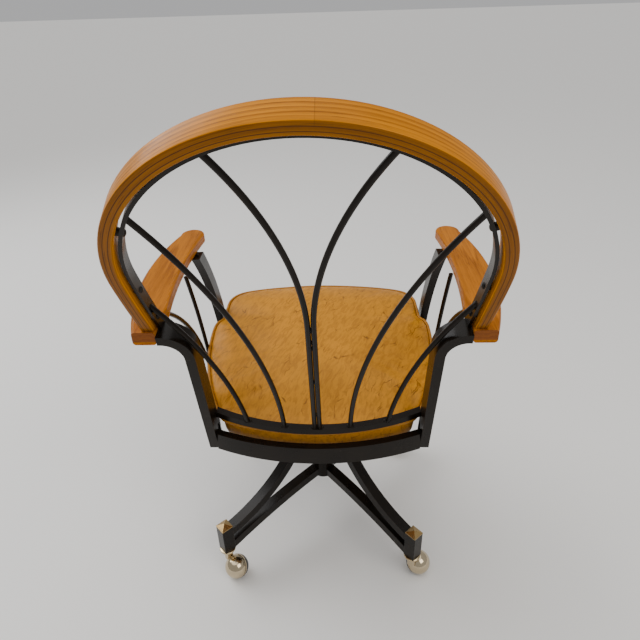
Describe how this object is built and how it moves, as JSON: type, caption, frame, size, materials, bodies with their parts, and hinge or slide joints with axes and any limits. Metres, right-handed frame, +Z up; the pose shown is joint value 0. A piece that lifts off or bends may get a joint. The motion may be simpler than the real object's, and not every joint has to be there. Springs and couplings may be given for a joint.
{
  "type": "swivel armchair",
  "caption": "Swivel and tilt armchair with a bentwood hoop back filled by fanned rods, wood arms, a padded seat and four ball casters.",
  "frame": {"origin": "on the floor, on the swivel axis", "axes": "+Z up along the swivel axis, the sitter faces -Y, +X is toward the chair's left-hand arm as seen from the front"},
  "size_m": [0.6162, 0.6803, 0.9887],
  "materials": {
    "frame_paint": "satin dark bronze paint",
    "control_paint": "semi-gloss black paint",
    "brass": "polished",
    "bright_steel": "turned",
    "bush_plastic": "matte",
    "board": "raw plywood",
    "vinyl": "grained vinyl, satin",
    "oak": "oiled oak, satin",
    "dark_screw": "satin black",
    "knob_plastic": "matte",
    "tread": "worn"
  },
  "bodies": {
    "base": {"column_tube": "frame_paint", "swivel_bushings": "bush_plastic", "leg_upper_1": "frame_paint", "leg_upper_2": "frame_paint", "leg_upper_3": "frame_paint", "leg_upper_4": "frame_paint", "leg_lower_1": "frame_paint", "leg_lower_2": "frame_paint", "leg_lower_3": "frame_paint", "leg_lower_4": "frame_paint", "leg_blocks": "frame_paint", "leg_caps": "brass", "caster_sockets": "brass"},
    "swivel": {"spindle": "bright_steel", "tilt_housing": "control_paint", "pivot_pin": "bright_steel", "tension_spring": "bright_steel"},
    "chair": {"tilt_plate": "control_paint", "tension_bolt": "bright_steel", "seat_board": "board", "seat_cushion": "vinyl", "seat_welt": "vinyl", "seat_screws": "bright_steel", "apron_rail": "frame_paint", "upper_rail": "frame_paint", "side_rail_left": "frame_paint", "side_rail_right": "frame_paint", "front_rail": "frame_paint", "rear_post_left": "frame_paint", "rear_post_right": "frame_paint", "front_post_left": "frame_paint", "front_post_right": "frame_paint", "side_rods_left": "frame_paint", "side_rods_right": "frame_paint", "back_rods_centre": "frame_paint", "back_rods_middle": "frame_paint", "back_rods_outer": "frame_paint", "hoop_strap": "frame_paint", "strap_spacers": "dark_screw", "wood_screws": "dark_screw", "wood_hoop": "oak", "armrest_left": "oak", "armrest_right": "oak"},
    "knob": {"tension_knob": "knob_plastic"},
    "caster_1": {"caster_hood_1": "brass", "caster_pins_1": "bright_steel"},
    "wheel_1": {"caster_wheel_1": "brass", "caster_tread_1": "tread"},
    "caster_2": {"caster_hood_2": "brass", "caster_pins_2": "bright_steel"},
    "wheel_2": {"caster_wheel_2": "brass", "caster_tread_2": "tread"},
    "caster_3": {"caster_hood_3": "brass", "caster_pins_3": "bright_steel"},
    "wheel_3": {"caster_wheel_3": "brass", "caster_tread_3": "tread"},
    "caster_4": {"caster_hood_4": "brass", "caster_pins_4": "bright_steel"},
    "wheel_4": {"caster_wheel_4": "brass", "caster_tread_4": "tread"}
  },
  "joints": [
    {"name": "seat_swivel", "type": "hinge", "parent": "base", "child": "swivel", "pos_m": [0, 0, 0.2], "axis": [0, 0, 1], "continuous": true},
    {"name": "seat_tilt", "type": "hinge", "parent": "swivel", "child": "chair", "pos_m": [0, -0.03947, 0.39708], "axis": [-1, 0, 0], "range_deg": [0, 12], "stiffness_Nm_per_rad": 220, "springref_deg": -11.46, "deforming": ["tension_spring"]},
    {"name": "tension_turn", "type": "hinge", "parent": "chair", "child": "knob", "pos_m": [0, -0.098, 0.279], "axis": [0, 0, 1], "continuous": true},
    {"name": "caster_turn_1", "type": "hinge", "parent": "base", "child": "caster_1", "pos_m": [0.20112, 0.18755, 0.08], "axis": [0, 0, 1], "continuous": true},
    {"name": "wheel_turn_1", "type": "hinge", "parent": "caster_1", "child": "wheel_1", "pos_m": [0.18402, 0.20139, 0.025], "axis": [-0.5278, -0.6518, -0.5446], "continuous": true},
    {"name": "caster_turn_2", "type": "hinge", "parent": "base", "child": "caster_2", "pos_m": [-0.18755, 0.20112, 0.08], "axis": [0, 0, 1], "continuous": true},
    {"name": "wheel_turn_2", "type": "hinge", "parent": "caster_2", "child": "wheel_2", "pos_m": [-0.20465, 0.18728, 0.025], "axis": [0.5278, -0.6518, -0.5446], "continuous": true},
    {"name": "caster_turn_3", "type": "hinge", "parent": "base", "child": "caster_3", "pos_m": [-0.20112, -0.18755, 0.08], "axis": [0, 0, 1], "continuous": true},
    {"name": "wheel_turn_3", "type": "hinge", "parent": "caster_3", "child": "wheel_3", "pos_m": [-0.18045, -0.18002, 0.025], "axis": [-0.2868, 0.7881, -0.5446], "continuous": true},
    {"name": "caster_turn_4", "type": "hinge", "parent": "base", "child": "caster_4", "pos_m": [0.18755, -0.20112, 0.08], "axis": [0, 0, 1], "continuous": true},
    {"name": "wheel_turn_4", "type": "hinge", "parent": "caster_4", "child": "wheel_4", "pos_m": [0.19855, -0.22018, 0.025], "axis": [0.7263, 0.4193, -0.5446], "continuous": true}
  ]
}
